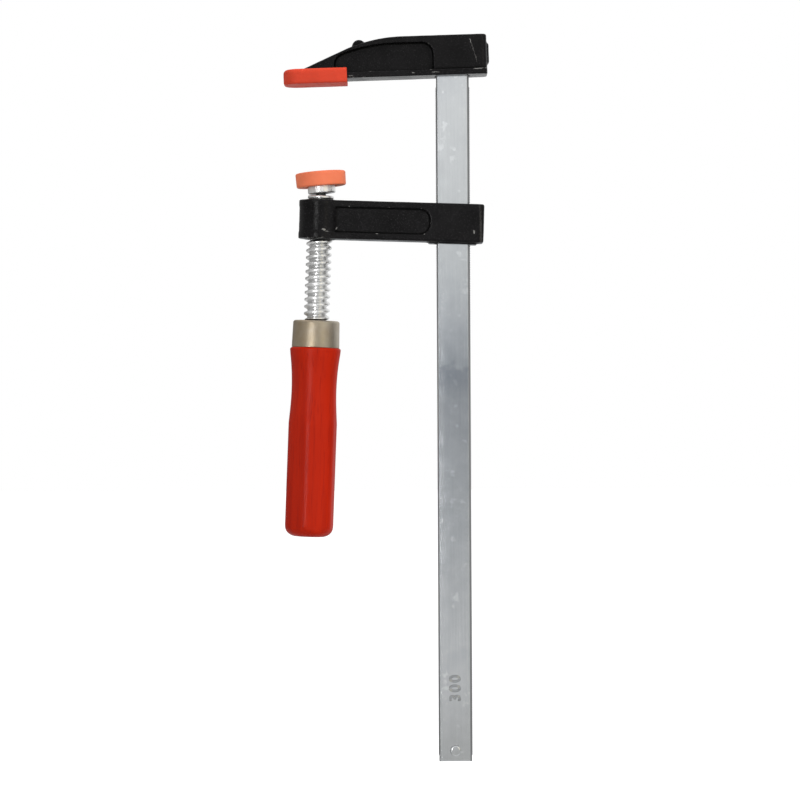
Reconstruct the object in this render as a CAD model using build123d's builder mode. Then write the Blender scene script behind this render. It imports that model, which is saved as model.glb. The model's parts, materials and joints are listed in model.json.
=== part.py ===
"""F-clamp for woodwork: a toothed bar with a fixed jaw, and a sliding arm with a screw spindle.

Millimetres, +Z up along the bar. The origin is on the working face of the fixed jaw's pad, straight
above the middle of the arm's boss. +X runs from there towards the bar, and -Y is the front.
The arm is drawn cocked on the bar, and the spindle leaning in its thread's play, as they hang when
nothing is clamped.
"""
import os
from math import ceil, cos, radians, sin, sqrt, tan

from build123d import *

# Bar
throat = 49.9
bar_width = 14.6
bar_thickness = 5.5
bar_reach = 290.8
bar_end_rounding = 0.8
tooth_pitch = 1.0
tooth_depth = 0.3
tooth_end_margin = 3.0
peen_flare = 0.6
bar_seat_clearance = 0.03

# Stop pin through the bar's lower end
stop_pin_diameter = 4.5
stop_pin_proud = 1.0
stop_pin_from_end = 4.6
stop_pin_edge = 0.5

# Fixed jaw casting, measured square to its own working face
jaw_toe_in = 1.6
jaw_height = 19.2
jaw_body_width = 13.0
jaw_flange_width = 16.0
jaw_flange_thickness = 2.6
jaw_nose_reach = 13.7
jaw_nose_step = 2.3
jaw_nose_rounding = 5.0
jaw_slope = 23.2
jaw_shoulder_radius = 65.0
jaw_heel_wall = 7.8
jaw_heel_rounding = 2.4
jaw_edge_rounding = 0.7
jaw_web = 6.0
jaw_rim = 2.75
jaw_pocket_radius = 70.0
jaw_pocket_lead = 3.2
jaw_pocket_corner = 4.8
jaw_pocket_to_bar = 0.6
jaw_pocket_reach = 6.7
jaw_nub_reach = 17.6
jaw_nub_radius = 3.0
jaw_nub_rise = 1.9
jaw_nub_width = 10.0
jaw_gate_height = 9.6
jaw_gate_width = 8.0
jaw_gate_proud = 0.9
jaw_gate_level = 11.0
jaw_gate_taper = 45.0

# Plastic shoe on the fixed jaw
pad_length = 27.3
pad_height = 6.5
pad_floor = 1.8
pad_wall = 1.4
pad_lip = 0.7
pad_face_rounding = 1.0
pad_top_rounding = 1.8
pad_clearance = 0.1

# Sliding arm casting
arm_drop = 59.8
arm_cock = 1.9
arm_height = 16.6
arm_body_width = 14.0
arm_boss_diameter = 18.4
arm_boss_recess = 0.2
arm_collar_diameter = 13.4
arm_collar_height = 0.35
arm_heel_wall = 5.9
arm_heel_rounding = 2.0
arm_edge_rounding = 0.8
arm_flange = 2.8
arm_web = 11.0
arm_pocket_corner = 4.4
arm_pocket_flat = 1.0
arm_pocket_to_bar = 2.6
arm_lip_length = 20.6
arm_lip_width = 11.0
arm_lip_depth = 0.7
slot_end_clearance = 0.1
slot_side_clearance = 0.3

# Spindle screw and its thread
spindle_play = 0.45
thread_pitch = 3.0
thread_major = 11.0
thread_root = 8.1
thread_crest_flat = 1.0
thread_flank = 20.0
thread_bury = 0.15
thread_clearance = 0.25
thread_relief = 0.8
thread_shown = 34.75
neck_diameter = 4.4
ball_diameter = 6.8
tang_length = 46.0
tang_fin_span = 11.4
tang_fin_thickness = 2.0
tang_fin_length = 14.0
tang_fin_from_end = 8.0

# Thrust washer under the foot
washer_diameter = 11.2
washer_thickness = 1.3
washer_bore_clearance = 0.35
running_gap = 0.3
seat_gap = 0.1

# Swivel foot and its cap
foot_tilt = 6.75
foot_cup_diameter = 12.0
foot_cup_sides = 12
foot_cup_depth = 3.5
socket_clearance = 0.2
neck_clearance = 0.25
cap_diameter = 21.6
cap_height = 6.2
cap_draft = 1.6
cap_top = 1.5
cap_wall = 1.5
cap_lip = 1.0
cap_lip_bore = 14.0
cap_below_ball = 0.5
cap_edge_rounding = 0.6
cap_clearance = 0.1

# Ferrule
ferrule_height = 11.7
ferrule_top_diameter = 19.9
ferrule_bottom_diameter = 20.5
ferrule_wall = 1.0
ferrule_edge_rounding = 0.9
ferrule_hole_clearance = 0.4
ferrule_fit = 0.05

# Wooden handle
handle_length = 81.2
handle_rim_diameter = 22.0
handle_rim_rounding = 0.9
handle_waist_diameter = 19.3
handle_waist_drop = 17.5
handle_body_diameter = 21.3
handle_body_drop = 32.5
handle_across_flats = 20.2
handle_flats = 6
handle_flats_turn = 21.5
handle_end_rounding = 5.0
tang_fit = 0.02

# Places worked out from the sizes above
overcut = 1.0
bar_x = throat + bar_width / 2
jaw_end = bar_x + bar_width / 2 + jaw_heel_wall
jaw_flange_bottom = pad_floor + pad_clearance
jaw_flange_top = jaw_flange_bottom + jaw_flange_thickness
slope_foot = jaw_nose_step - jaw_nose_reach
shoulder = slope_foot + (jaw_height - jaw_flange_top) / tan(radians(jaw_slope))
shoulder_start = shoulder + jaw_shoulder_radius * tan(radians(jaw_slope / 2))
nub_to_shoulder = shoulder_start - jaw_nub_reach
shoulder_fall = jaw_shoulder_radius - sqrt(jaw_shoulder_radius**2 - nub_to_shoulder**2)
jaw_nub_level = jaw_height - shoulder_fall + jaw_nub_rise - jaw_nub_radius
pocket_top = jaw_height - jaw_rim
pocket_bend = shoulder_start - jaw_pocket_lead
pocket_run = pocket_bend - jaw_pocket_reach
pocket_fall = jaw_pocket_radius - sqrt(jaw_pocket_radius**2 - pocket_run**2)
pad_left = -jaw_nose_reach - pad_clearance - pad_wall
pad_width = jaw_flange_width + 2 * (pad_clearance + pad_wall)
arm_end = bar_x + bar_width / 2 + arm_heel_wall
arm_top = arm_height / 2
arm_pocket_length = throat - arm_pocket_to_bar
arm_pocket_height = arm_height - 2 * arm_flange
arm_pocket_rounding = min(arm_pocket_corner, (arm_pocket_height - arm_pocket_flat) / 2)
boss_top = arm_top + arm_collar_height
root_radius = thread_root / 2
thread_depth = (thread_major - thread_root) / 2
thread_root_flat = thread_crest_flat + 2 * thread_depth * tan(radians(thread_flank))
washer_bottom = boss_top + running_gap
washer_level = washer_bottom + washer_thickness
shoulder_level = washer_bottom - seat_gap
tilt = radians(foot_tilt)
foot_dip = foot_cup_depth * cos(tilt) + foot_cup_diameter / 2 * sin(tilt)
ball_level = washer_level + running_gap + foot_dip
ferrule_level = -boss_top - thread_shown
handle_level = ferrule_level - ferrule_height
handle_end = handle_level - handle_length
tang_end = ferrule_level - tang_length
tenon_radius = ferrule_top_diameter / 2 - ferrule_wall
ball_radius = ball_diameter / 2
neck_radius = neck_diameter / 2
socket_radius = ball_radius + socket_clearance
cup_mouth_radius = neck_radius / cos(tilt) + foot_cup_depth * tan(tilt) + neck_clearance
cap_top_level = cap_height - cap_below_ball
cap_bore = cap_diameter - 2 * cap_height * tan(radians(cap_draft)) - 2 * cap_wall
plate_bottom = -cap_below_ball + cap_lip + cap_clearance
plate_top = cap_top_level - cap_top - cap_clearance
slot_lean = 2 * (arm_top + arm_lip_depth) * tan(radians(arm_cock))
slot_length = bar_width / cos(radians(arm_cock)) + slot_lean + 2 * slot_end_clearance

# Frames: each plan looks down its own axis, each elevation is seen from the front
bar_elevation = Plane(origin=(bar_x, 0, 0), x_dir=(1, 0, 0), z_dir=(0, -1, 0))
toe = radians(jaw_toe_in)
jaw_plan = Plane(origin=(0, 0, 0), x_dir=(cos(toe), 0, sin(toe)), z_dir=(-sin(toe), 0, cos(toe)))
jaw_elevation = Plane(origin=jaw_plan.origin, x_dir=jaw_plan.x_dir, z_dir=(0, -1, 0))
jaw_axis = Axis(jaw_plan.origin, jaw_plan.z_dir)
jaw_heel_origin = jaw_plan.from_local_coords((jaw_end, 0, jaw_gate_level))
jaw_heel_plan = Plane(origin=jaw_heel_origin, x_dir=(0, 1, 0), z_dir=jaw_plan.x_dir)
cock = radians(arm_cock)
arm_origin = (bar_x - bar_x * cos(cock), 0, -arm_drop + bar_x * sin(cock))
arm_plan = Plane(origin=arm_origin, x_dir=(cos(cock), 0, -sin(cock)), z_dir=(sin(cock), 0, cos(cock)))
arm_elevation = Plane(origin=arm_plan.origin, x_dir=arm_plan.x_dir, z_dir=(0, -1, 0))
arm_axis = Axis(arm_plan.origin, arm_plan.z_dir)
spindle_plan = arm_plan.rotated((0, spindle_play, 0))
spindle_elevation = Plane(origin=spindle_plan.origin, x_dir=spindle_plan.x_dir, z_dir=(0, -1, 0))
spindle_axis = Axis(spindle_plan.origin, spindle_plan.z_dir)
foot_plan = spindle_plan.offset(ball_level).rotated((0, -foot_tilt, 0))
foot_elevation = Plane(origin=foot_plan.origin, x_dir=foot_plan.x_dir, z_dir=(0, -1, 0))
foot_axis = Axis(foot_plan.origin, foot_plan.z_dir)


def toothed_edge(edge_x, inward, low, high):
    """Points up one narrow side of the bar: tooth tips on the edge, roots one depth inside it."""
    count = int((high - low) / tooth_pitch)
    points = []
    for tooth in range(count):
        tip = low + tooth * tooth_pitch
        points.append((edge_x, tip))
        points.append((edge_x + inward * tooth_depth, tip + tooth_pitch / 2))
    points.append((edge_x, low + count * tooth_pitch))
    return points


def jaw_top_at(x):
    """Level of the jaw's top face at a distance from the bar's centre line."""
    return (jaw_height + (bar_x + x) * sin(toe)) / cos(toe)


def peened_end(clearance):
    """The bar's upper end, left to right: it spreads just below the jaw's top and ends flush with it."""
    side = bar_width / 2 + clearance
    spread = side + peen_flare
    return [
        (-side, jaw_top_at(-side) - peen_flare),
        (-spread, jaw_top_at(-spread)),
        (spread, jaw_top_at(spread)),
        (side, jaw_top_at(side) - peen_flare),
    ]


def helix_ridge(low, height, clearance):
    """The thread's ridge as a solid on the spindle's line, in step with every other ridge made here."""
    start = Plane(spindle_plan.offset(low).location * Rot(Z=360 * low / thread_pitch))
    path = start.location * Helix(pitch=thread_pitch, height=height, radius=root_radius)
    across = Plane(origin=path @ 0, x_dir=start.x_dir, z_dir=path % 0)
    root = thread_root_flat / 2 + thread_bury * tan(radians(thread_flank)) + clearance
    crest = thread_crest_flat / 2 + clearance
    with BuildPart() as ridge:
        with BuildSketch(across):
            with BuildLine():
                Polyline(
                    (-thread_bury, -root),
                    (thread_depth + clearance, -crest),
                    (thread_depth + clearance, crest),
                    (-thread_bury, root),
                    close=True,
                )
            make_face()
        sweep(path=path, is_frenet=True)
    return ridge.part


def screw_tap(low, height):
    """A running-clearance copy of the screw, to cut the arm's thread with."""
    with BuildPart() as tap:
        with BuildSketch(spindle_plan.offset(low - overcut)):
            Circle(root_radius + thread_clearance)
        extrude(amount=height + 2 * overcut)
        add(helix_ridge(low, height, thread_clearance))
    return tap.part


# Bar: toothed on both narrow edges, its upper end peened into the jaw and dressed flush
with BuildPart() as bar:
    half = bar_width / 2
    tooth_low = -bar_reach + tooth_end_margin
    tooth_high = jaw_flange_bottom - tooth_end_margin
    with BuildSketch(bar_elevation.offset(-bar_thickness / 2)):
        Polygon(
            (half - bar_end_rounding, -bar_reach),
            (-half + bar_end_rounding, -bar_reach),
            (-half, -bar_reach + bar_end_rounding),
            *toothed_edge(-half, 1, tooth_low, tooth_high),
            *peened_end(0),
            *reversed(toothed_edge(half, -1, tooth_low, tooth_high)),
            (half, -bar_reach + bar_end_rounding),
        )
        with Locations((0, -bar_reach + stop_pin_from_end)):
            Circle(stop_pin_diameter / 2, mode=Mode.SUBTRACT)
    extrude(amount=bar_thickness)

# Stop pin: keeps the arm from sliding off the bar's lower end
with BuildPart() as bar_stop_pin:
    with BuildSketch(bar_elevation):
        with Locations((0, -bar_reach + stop_pin_from_end)):
            Circle(stop_pin_diameter / 2)
    extrude(amount=bar_thickness / 2 + stop_pin_proud, both=True)
    fillet(bar_stop_pin.edges().filter_by(GeomType.CIRCLE), stop_pin_edge)

# Fixed jaw: a wedge with a pocket in each side, standing on a wider flange
with BuildPart() as fixed_jaw:
    with BuildSketch(jaw_elevation) as jaw_side:
        Polygon(
            (slope_foot, jaw_flange_bottom),
            (jaw_end, jaw_flange_bottom),
            (jaw_end, jaw_height),
            (shoulder, jaw_height),
            (slope_foot, jaw_flange_top),
        )
        fillet(jaw_side.vertices().sort_by_distance((shoulder, jaw_height))[0], jaw_shoulder_radius)
    extrude(amount=jaw_body_width / 2, both=True)
    heel_face = fixed_jaw.faces().sort_by(Axis.X)[-1]
    fillet(heel_face.edges().filter_by(Axis.Y, reverse=True), jaw_heel_rounding)
    facing_up = cos(radians(2 * jaw_slope))
    upper_faces = fixed_jaw.faces().filter_by(
        lambda face: face.normal_at().dot(jaw_plan.z_dir) > facing_up
    )
    fillet(upper_faces.edges().filter_by(Axis.Y, reverse=True), jaw_edge_rounding)
    with BuildSketch(jaw_plan.offset(jaw_flange_bottom)) as jaw_sole:
        with Locations(((jaw_end - jaw_nose_reach) / 2, 0)):
            Rectangle(jaw_end + jaw_nose_reach, jaw_flange_width)
        fillet(jaw_sole.vertices().group_by(Axis.X)[0], jaw_nose_rounding)
        fillet(jaw_sole.vertices().group_by(Axis.X)[-1], jaw_heel_rounding)
    extrude(amount=jaw_flange_thickness)
    with BuildSketch(jaw_elevation):
        with Locations((jaw_nub_reach, jaw_nub_level)):
            Circle(jaw_nub_radius)
    extrude(amount=jaw_nub_width / 2, both=True)
    with BuildSketch(jaw_heel_plan):
        Rectangle(jaw_gate_width, jaw_gate_height)
    extrude(amount=jaw_gate_proud, taper=jaw_gate_taper)
    for side in (1, -1):
        with BuildSketch(jaw_elevation.offset(side * jaw_web / 2)) as jaw_pocket:
            with BuildLine():
                Polyline(
                    (jaw_pocket_reach, pocket_top - pocket_fall),
                    (jaw_pocket_reach, jaw_flange_top),
                    (throat - jaw_pocket_to_bar, jaw_flange_top),
                    (throat - jaw_pocket_to_bar, pocket_top),
                    (pocket_bend, pocket_top),
                )
                TangentArc(
                    (pocket_bend, pocket_top),
                    (jaw_pocket_reach, pocket_top - pocket_fall),
                    tangent=(-1, 0),
                )
            make_face()
            fillet(jaw_pocket.vertices().group_by(Axis.X)[0].sort_by(Axis.Y)[-1], jaw_pocket_corner)
            fillet(jaw_pocket.vertices().group_by(Axis.X)[-1].sort_by(Axis.Y)[-1], jaw_pocket_corner)
        extrude(amount=side * jaw_body_width, mode=Mode.SUBTRACT)
    with BuildSketch(bar_elevation):
        slot_half = bar_width / 2 + bar_seat_clearance
        spread = slot_half + peen_flare
        Polygon(
            (-slot_half, -overcut),
            *peened_end(bar_seat_clearance)[:2],
            (-spread, jaw_top_at(-spread) + overcut),
            (spread, jaw_top_at(spread) + overcut),
            *peened_end(bar_seat_clearance)[2:],
            (slot_half, -overcut),
        )
    extrude(amount=bar_thickness / 2 + bar_seat_clearance, both=True, mode=Mode.SUBTRACT)

# Shoe on the fixed jaw: a plastic tray whose lips snap over the jaw's flange
with BuildPart() as fixed_jaw_pad:
    with BuildSketch(jaw_plan) as pad_sole:
        with Locations((pad_left + pad_length / 2, 0)):
            Rectangle(pad_length, pad_width)
        fillet(pad_sole.vertices().group_by(Axis.X)[0], jaw_nose_rounding + pad_clearance + pad_wall)
    extrude(amount=pad_height)
    pad_bottom, *_, pad_top = fixed_jaw_pad.faces().sort_by(jaw_axis)
    open_end = fixed_jaw_pad.faces().sort_by(Axis.X)[-1]
    fillet(pad_bottom.edges() - open_end.edges(), pad_face_rounding)
    fillet(pad_top.edges() - open_end.edges(), pad_top_rounding)
    with BuildSketch(jaw_plan.offset(pad_floor)) as flange_bed:
        with Locations((-jaw_nose_reach - pad_clearance + pad_length / 2, 0)):
            Rectangle(pad_length, jaw_flange_width + 2 * pad_clearance)
        fillet(flange_bed.vertices().group_by(Axis.X)[0], jaw_nose_rounding + pad_clearance)
    extrude(amount=jaw_flange_thickness + 2 * pad_clearance, mode=Mode.SUBTRACT)
    with BuildSketch(jaw_plan.offset(pad_floor)) as pad_mouth:
        with Locations((-jaw_nose_reach + pad_lip + pad_length / 2, 0)):
            Rectangle(pad_length, jaw_flange_width - 2 * pad_lip)
        fillet(pad_mouth.vertices().group_by(Axis.X)[0], jaw_nose_rounding - pad_lip)
    extrude(amount=pad_height, mode=Mode.SUBTRACT)

# Sliding arm: a ribbed casting with a slot for the bar and a threaded boss for the spindle
with BuildPart() as sliding_arm:
    with BuildSketch(arm_plan.offset(-arm_top)) as arm_sole:
        with Locations((arm_end / 2, 0)):
            Rectangle(arm_end, arm_body_width)
        fillet(arm_sole.vertices().group_by(Axis.X)[-1], arm_heel_rounding)
    extrude(amount=arm_height)
    under_side, *_, upper_side = sliding_arm.faces().sort_by(arm_axis)
    boss_end = sliding_arm.faces().sort_by(Axis.X)[0]
    fillet(under_side.edges() + upper_side.edges() - boss_end.edges(), arm_edge_rounding)
    for side in (1, -1):
        with BuildSketch(arm_elevation.offset(side * arm_web / 2)) as arm_pocket:
            with Locations((arm_pocket_length / 2, 0)):
                Rectangle(arm_pocket_length, arm_pocket_height)
            fillet(arm_pocket.vertices().group_by(Axis.X)[-1], arm_pocket_rounding)
        extrude(amount=side * arm_body_width, mode=Mode.SUBTRACT)
    with BuildSketch(arm_plan.offset(-arm_top)):
        Circle(arm_boss_diameter / 2 - arm_boss_recess)
    extrude(amount=arm_height)
    for rim_level in (-arm_top, arm_top - arm_flange):
        with BuildSketch(arm_plan.offset(rim_level)):
            Circle(arm_boss_diameter / 2)
        extrude(amount=arm_flange)
    with BuildSketch(arm_plan.offset(-boss_top)):
        Circle(arm_collar_diameter / 2)
    extrude(amount=2 * boss_top)
    with BuildSketch(arm_plan.offset(-arm_top)):
        with Locations((bar_x, 0)):
            RectangleRounded(arm_lip_length, arm_lip_width, arm_edge_rounding)
    extrude(amount=-arm_lip_depth)
    with BuildSketch(arm_plan.offset(-arm_height)):
        with Locations((bar_x, 0)):
            Rectangle(slot_length, bar_thickness + 2 * slot_side_clearance)
    extrude(amount=2 * arm_height, mode=Mode.SUBTRACT)
    tap_reach = ceil(boss_top / thread_pitch + 1) * thread_pitch
    add(screw_tap(-tap_reach, 2 * tap_reach), mode=Mode.SUBTRACT)

# Spindle: ball end, plain neck, coarse screw, and a finned tang driven into the handle
with BuildPart() as spindle:
    with BuildSketch(spindle_elevation):
        with BuildLine():
            neck_top = ball_level - sqrt(ball_radius**2 - neck_radius**2)
            ThreePointArc((0, ball_level + ball_radius), (ball_radius, ball_level), (neck_radius, neck_top))
            Polyline(
                (neck_radius, neck_top),
                (neck_radius, shoulder_level),
                (root_radius, shoulder_level),
                (root_radius, tang_end),
                (0, tang_end),
                (0, ball_level + ball_radius),
            )
        make_face()
    revolve(axis=spindle_axis)
    thread_low = ferrule_level - ferrule_wall + thread_root_flat / 2
    thread_top = shoulder_level - thread_relief - thread_root_flat / 2
    add(helix_ridge(thread_low, thread_top - thread_low, 0))
    with BuildSketch(spindle_plan.offset(tang_end + tang_fin_from_end)):
        Rectangle(tang_fin_span, tang_fin_thickness)
    extrude(amount=tang_fin_length)

# Thrust washer between the spindle's shoulder and the foot
with BuildPart() as thrust_washer:
    with BuildSketch(spindle_plan.offset(washer_bottom)):
        Circle(washer_diameter / 2)
        Circle(neck_radius + washer_bore_clearance, mode=Mode.SUBTRACT)
    extrude(amount=washer_thickness)

# Swivel foot: a steel plate whose crimped cup holds the spindle's ball
with BuildPart() as swivel_foot:
    with BuildSketch(foot_plan.offset(-foot_cup_depth)):
        RegularPolygon(foot_cup_diameter / 2, foot_cup_sides)
    extrude(amount=foot_cup_depth + plate_bottom)
    with BuildSketch(foot_plan.offset(plate_bottom)):
        Circle(cap_bore / 2 - cap_clearance)
    extrude(amount=plate_top - plate_bottom)
    with BuildSketch(foot_elevation):
        with BuildLine():
            mouth_level = -sqrt(socket_radius**2 - cup_mouth_radius**2)
            ThreePointArc((0, socket_radius), (socket_radius, 0), (cup_mouth_radius, mouth_level))
            Polyline(
                (cup_mouth_radius, mouth_level),
                (cup_mouth_radius, -foot_cup_depth - overcut),
                (0, -foot_cup_depth - overcut),
                (0, socket_radius),
            )
        make_face()
    revolve(axis=foot_axis, mode=Mode.SUBTRACT)

# Plastic cap snapped over the foot's plate
with BuildPart() as swivel_pad_cap:
    with BuildSketch(foot_plan.offset(cap_top_level)):
        Circle(cap_diameter / 2)
    extrude(amount=-cap_height, taper=cap_draft)
    fillet(swivel_pad_cap.edges().filter_by(GeomType.CIRCLE), cap_edge_rounding)
    with BuildSketch(foot_plan.offset(-cap_below_ball + cap_lip)):
        Circle(cap_bore / 2)
    extrude(amount=cap_height - cap_lip - cap_top, mode=Mode.SUBTRACT)
    with BuildSketch(foot_plan.offset(-cap_below_ball - overcut)):
        Circle(cap_lip_bore / 2)
    extrude(amount=cap_lip + 2 * overcut, mode=Mode.SUBTRACT)

# Ferrule: a drawn steel cup that keeps the handle's end from splitting
with BuildPart() as ferrule:
    with BuildSketch(spindle_elevation):
        inside = tenon_radius + ferrule_fit
        hole = thread_major / 2 + ferrule_hole_clearance
        Polygon(
            (hole, ferrule_level),
            (ferrule_top_diameter / 2, ferrule_level),
            (ferrule_bottom_diameter / 2, handle_level),
            (inside, handle_level),
            (inside, ferrule_level - ferrule_wall),
            (hole, ferrule_level - ferrule_wall),
        )
    revolve(axis=spindle_axis)
    crown = ferrule.edges().filter_by(GeomType.CIRCLE).filter_by(
        lambda edge: abs(edge.radius - ferrule_top_diameter / 2) < ferrule_fit
    )
    fillet(crown, ferrule_edge_rounding)

# Handle: turned wood with a coved neck, then planed to flats along its body
with BuildPart() as handle:
    with BuildSketch(spindle_elevation):
        tenon_top = ferrule_level - ferrule_wall - seat_gap
        rim_radius = handle_rim_diameter / 2
        body_radius = handle_body_diameter / 2
        cove_end = handle_level - handle_body_drop
        with BuildLine():
            Polyline(
                (0, handle_end),
                (0, tenon_top),
                (tenon_radius, tenon_top),
                (tenon_radius, handle_level),
                (rim_radius, handle_level),
            )
            ThreePointArc(
                (rim_radius, handle_level),
                (handle_waist_diameter / 2, handle_level - handle_waist_drop),
                (body_radius, cove_end),
            )
            Polyline((body_radius, cove_end), (body_radius, handle_end), (0, handle_end))
        make_face()
    revolve(axis=spindle_axis)
    rounds = handle.edges().filter_by(GeomType.CIRCLE)
    fillet(rounds.filter_by(lambda edge: abs(edge.radius - rim_radius) < ferrule_fit), handle_rim_rounding)
    fillet(handle.edges().filter_by(GeomType.CIRCLE).sort_by(spindle_axis)[0], handle_end_rounding)
    with BuildSketch(spindle_plan.offset(handle_level - handle_waist_drop)):
        Circle(handle_rim_diameter)
        RegularPolygon(
            handle_across_flats / 2,
            handle_flats,
            major_radius=False,
            rotation=handle_flats_turn,
            mode=Mode.SUBTRACT,
        )
    extrude(amount=handle_waist_drop - handle_length - overcut, mode=Mode.SUBTRACT)
    with BuildSketch(spindle_plan.offset(tang_end - seat_gap)):
        Circle(root_radius + tang_fit)
    extrude(amount=tang_length + overcut, mode=Mode.SUBTRACT)
    with BuildSketch(spindle_plan.offset(tang_end + tang_fin_from_end - tang_fit)):
        Rectangle(tang_fin_span + 2 * tang_fit, tang_fin_thickness + 2 * tang_fit)
    extrude(amount=tang_fin_length + 2 * tang_fit, mode=Mode.SUBTRACT)

bar.part.label = "bar"
bar_stop_pin.part.label = "bar_stop_pin"
fixed_jaw.part.label = "fixed_jaw"
fixed_jaw_pad.part.label = "fixed_jaw_pad"
sliding_arm.part.label = "sliding_arm"
spindle.part.label = "spindle"
thrust_washer.part.label = "thrust_washer"
swivel_foot.part.label = "swivel_foot"
swivel_pad_cap.part.label = "swivel_pad_cap"
ferrule.part.label = "ferrule"
handle.part.label = "handle"

os.makedirs("parts", exist_ok=True)
export_step(bar.part, "parts/bar.step")
export_step(bar_stop_pin.part, "parts/bar_stop_pin.step")
export_step(fixed_jaw.part, "parts/fixed_jaw.step")
export_step(fixed_jaw_pad.part, "parts/fixed_jaw_pad.step")
export_step(sliding_arm.part, "parts/sliding_arm.step")
export_step(spindle.part, "parts/spindle.step")
export_step(thrust_washer.part, "parts/thrust_washer.step")
export_step(swivel_foot.part, "parts/swivel_foot.step")
export_step(swivel_pad_cap.part, "parts/swivel_pad_cap.step")
export_step(ferrule.part, "parts/ferrule.step")
export_step(handle.part, "parts/handle.step")
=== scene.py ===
"""Dresses a screw bar clamp: toothed bar, painted castings, rolled screw, plastic pads and lacquered handle.

Metres, +Z up along the bar, in the same frame as the solids that it dresses.
"""
import json
from math import cos, pi, radians, sin, sqrt, tan
from types import SimpleNamespace

import bmesh
import bpy
import numpy as np
from bpy.props import FloatProperty, FloatVectorProperty, IntProperty, PointerProperty, StringProperty
from bpy.types import NodeSocketFloat, NodeSocketGeometry, NodeSocketMaterial, NodeSocketVector
from mathutils import Matrix, Vector


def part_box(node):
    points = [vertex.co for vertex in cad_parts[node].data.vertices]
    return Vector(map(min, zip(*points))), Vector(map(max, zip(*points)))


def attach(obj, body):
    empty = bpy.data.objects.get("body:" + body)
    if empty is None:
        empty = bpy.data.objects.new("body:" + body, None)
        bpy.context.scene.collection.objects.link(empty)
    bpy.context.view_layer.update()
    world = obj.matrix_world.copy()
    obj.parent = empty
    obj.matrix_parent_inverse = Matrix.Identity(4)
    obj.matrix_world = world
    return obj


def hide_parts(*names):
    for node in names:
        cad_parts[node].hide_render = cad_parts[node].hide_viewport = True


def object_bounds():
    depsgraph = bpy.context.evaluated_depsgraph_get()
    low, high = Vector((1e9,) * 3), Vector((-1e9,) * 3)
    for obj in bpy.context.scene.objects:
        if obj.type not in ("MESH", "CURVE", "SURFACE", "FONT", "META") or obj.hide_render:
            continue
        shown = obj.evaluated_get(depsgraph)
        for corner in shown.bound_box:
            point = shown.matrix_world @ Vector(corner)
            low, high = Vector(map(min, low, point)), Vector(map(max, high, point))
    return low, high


bl_info = {
    "name": "Screw Bar Clamp",
    "version": (1, 0, 0),
    "blender": (4, 5, 0),
    "location": "View3D > Sidebar > Clamp",
    "description": "Dresses a screw bar clamp and sets its studio stage",
    "category": "Object",
}

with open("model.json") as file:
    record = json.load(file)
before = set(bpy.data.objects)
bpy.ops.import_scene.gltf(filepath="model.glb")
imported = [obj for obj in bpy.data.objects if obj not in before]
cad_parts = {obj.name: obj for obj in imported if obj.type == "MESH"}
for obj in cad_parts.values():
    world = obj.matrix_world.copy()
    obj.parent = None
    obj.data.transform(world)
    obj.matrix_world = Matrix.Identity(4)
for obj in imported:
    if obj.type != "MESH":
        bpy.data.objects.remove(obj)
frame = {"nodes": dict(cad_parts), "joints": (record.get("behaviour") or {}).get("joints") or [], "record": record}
cad_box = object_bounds()
MM = 0.001
# Points closer than this are one
same_place = 1e-7
# An angle in degrees that leaves no edge sharp
no_sharp_edges = 180.0


# Places read from the frame

def joint_named(name):
    """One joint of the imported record."""
    return next(joint for joint in frame["joints"] if joint["name"] == name)


def mount_axis(name):
    """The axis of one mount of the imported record."""
    return next(mount["axis"] for mount in frame["record"]["mounts"] if mount["name"] == name)


def leaning_frame(origin, direction):
    """A frame on an axis that leans in the picture's plane: Z along it, Y straight back."""
    up = Vector(direction).normalized()
    back = Vector((0, 1, 0))
    across = back.cross(up)
    rows = Matrix((across, back, up)).transposed().to_4x4()
    return Matrix.Translation(Vector(origin)) @ rows


def reach_along(node, place):
    """Lowest and highest level of a solid along the Z axis of a frame."""
    to_local = place.inverted()
    levels = [(to_local @ vertex.co).z for vertex in frame["nodes"][node].data.vertices]
    return min(levels), max(levels)


screw_frame = leaning_frame(joint_named("spindle_turn")["pos_m"], joint_named("spindle_turn")["axis"])
foot_frame = leaning_frame(joint_named("foot_tilt")["pos_m"], mount_axis("swivel_pad_face"))
bar_low, bar_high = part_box("bar")
bar_middle = (bar_low.x + bar_high.x) / 2
bar_flare = 0.6 * MM
bar_width = bar_high.x - bar_low.x - 2 * bar_flare
pin_low, pin_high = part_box("bar_stop_pin")
pin_middle = (pin_low + pin_high) / 2
pin_radius = (pin_high.z - pin_low.z) / 2
ferrule_bottom, ferrule_top = reach_along("ferrule", screw_frame)
handle_bottom, _ = reach_along("handle", screw_frame)
washer_bottom, washer_top = reach_along("thrust_washer", screw_frame)
spindle_bottom, spindle_top = reach_along("spindle", screw_frame)
cup_bottom, plate_top = reach_along("swivel_foot", foot_frame)
cap_bottom, cap_top = reach_along("swivel_pad_cap", foot_frame)
jaw_axis = -Vector(mount_axis("fixed_jaw_face"))
jaw_slope = -jaw_axis.x / jaw_axis.z
z_to_front = Matrix.Rotation(radians(90), 4, "X")


# Sizes and colours that a user would change

def length(name, description, default):
    """A size in metres."""
    return FloatProperty(name=name, description=description, default=default, unit="LENGTH", precision=5)


def turn_angle(name, description, degrees):
    """An angle, with its default in degrees."""
    return FloatProperty(name=name, description=description, default=radians(degrees), subtype="ANGLE")


def whole_number(name, description, default, least):
    """A count."""
    return IntProperty(name=name, description=description, default=default, min=least)


def plain_number(name, description, default):
    """A number without a unit."""
    return FloatProperty(name=name, description=description, default=default)


def colour(name, description, default):
    """A linear colour."""
    return FloatVectorProperty(name=name, description=description, default=default, subtype="COLOR", size=3)


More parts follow.
